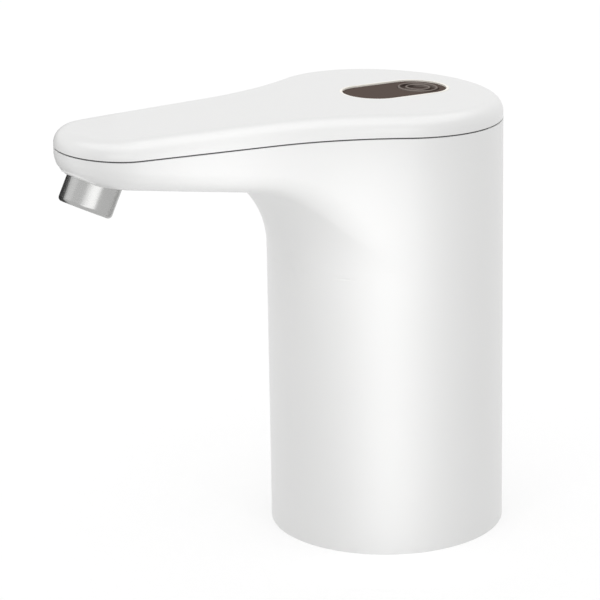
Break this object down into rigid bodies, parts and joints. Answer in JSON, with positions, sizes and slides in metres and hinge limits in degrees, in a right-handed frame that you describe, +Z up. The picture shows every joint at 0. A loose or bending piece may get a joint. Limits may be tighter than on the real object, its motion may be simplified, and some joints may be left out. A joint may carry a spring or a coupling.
{
  "type": "bottled water pump",
  "caption": "Battery pump that stands on the neck of a large water bottle, with a short spout, a tilted steel nozzle and a push button.",
  "frame": {"origin": "centre of the neck collar's mouth at the tube's foot", "axes": "+X towards the spout's tip, +Y to the left seen from behind, +Z up along the tube"},
  "size_m": [0.1523, 0.073, 0.1427],
  "materials": {
    "white_plastic": "satin gloss",
    "grey_rubber": "matt",
    "pale_plastic": "satin",
    "dark_gloss": "gloss",
    "dark_button": "gloss",
    "clear_plastic": "frosted clear",
    "polished_steel": "polished",
    "spring_steel": "drawn",
    "natural_plastic": "moulded",
    "black_rubber": "matt",
    "grey_plastic": "moulded",
    "clear_silicone": "clear soft",
    "soft_white": "soft satin",
    "screw_steel": "zinc",
    "pump_plastic": "moulded",
    "soft_valve": "soft",
    "gear_plastic": "moulded",
    "zinc_steel": "zinc",
    "magnet_grey": "sintered",
    "rotor_steel": "machined",
    "dark_plastic": "moulded",
    "brass_strip": "tumbled",
    "red_lead": "satin",
    "cell_wrap": "shrink film",
    "nickel_strip": "nickel",
    "board_green": "solder mask",
    "chip_black": "moulded",
    "lamp_white": "clear"
  },
  "bodies": {
    "pump_body": {"body_shell": "white_plastic", "body_tube": "white_plastic", "top_cover": "white_plastic", "seam_gasket": "grey_rubber", "panel_bezel": "pale_plastic", "control_panel": "dark_gloss", "light_guide": "clear_plastic", "nozzle": "polished_steel", "nozzle_clip": "spring_steel", "nozzle_elbow": "natural_plastic", "nozzle_o_ring": "black_rubber", "flow_straightener": "grey_plastic", "outlet_tube": "clear_silicone", "intake_tube": "clear_silicone", "tube_clips": "spring_steel", "base_plate": "natural_plastic", "neck_collar": "soft_white", "base_screws": "screw_steel", "cover_screws": "screw_steel", "deck_screws": "screw_steel", "board_screws": "screw_steel", "pump_screws": "screw_steel", "motor_screws": "screw_steel", "pump_feet": "black_rubber", "pump_cover": "pump_plastic", "valve_plate": "pump_plastic", "valve_flaps": "soft_valve", "diaphragm": "soft_valve", "pump_housing": "pump_plastic", "motor_can": "zinc_steel", "motor_magnets": "magnet_grey", "motor_end_cap": "dark_plastic", "motor_terminals": "brass_strip", "motor_sleeve": "black_rubber", "motor_leads": "red_lead", "battery_leads": "red_lead", "pump_bracket": "dark_plastic", "deck_spacers": "brass_strip", "upper_deck": "natural_plastic", "battery_cell": "cell_wrap", "cell_contacts": "nickel_strip", "cell_pads": "black_rubber", "main_board": "board_green", "board_chips": "chip_black", "indicator_leds": "lamp_white", "button_switch": "chip_black", "charging_port": "nickel_strip", "port_tongue": "chip_black"},
    "button": {"power_button": "dark_button", "switch_plunger": "dark_plastic"},
    "rotor": {"motor_rotor": "rotor_steel", "drive_cam": "gear_plastic", "wobble_pin": "polished_steel"},
    "swing_plate": {"wobble_plate": "gear_plastic"},
    "port_flap": {"port_plug": "soft_white"}
  },
  "joints": [
    {"name": "button_press", "type": "slide", "parent": "pump_body", "child": "button", "axis": [0.0558, 0, -0.9984], "range_m": [0, 0.0006], "stiffness_N_per_m": 800, "springref_m": -0.0005},
    {"name": "rotor_spin", "type": "hinge", "parent": "pump_body", "child": "rotor", "pos_m": [0.006, 0, 0.08], "axis": [0, 0, 1], "continuous": true, "deforming": ["diaphragm"]},
    {"name": "plate_swing", "type": "hinge", "parent": "rotor", "child": "swing_plate", "pos_m": [0.006, 0, 0.069], "axis": [0.1219, 0, 0.9925], "continuous": true},
    {"name": "flap_hinge", "type": "hinge", "parent": "pump_body", "child": "port_flap", "pos_m": [-0.0365, 0, 0.11913], "axis": [0, -1, 0], "range_deg": [0, 100]}
  ],
  "couplings": [
    {"joint": "plate_swing", "follows": "rotor_spin", "ratio": -1}
  ]
}
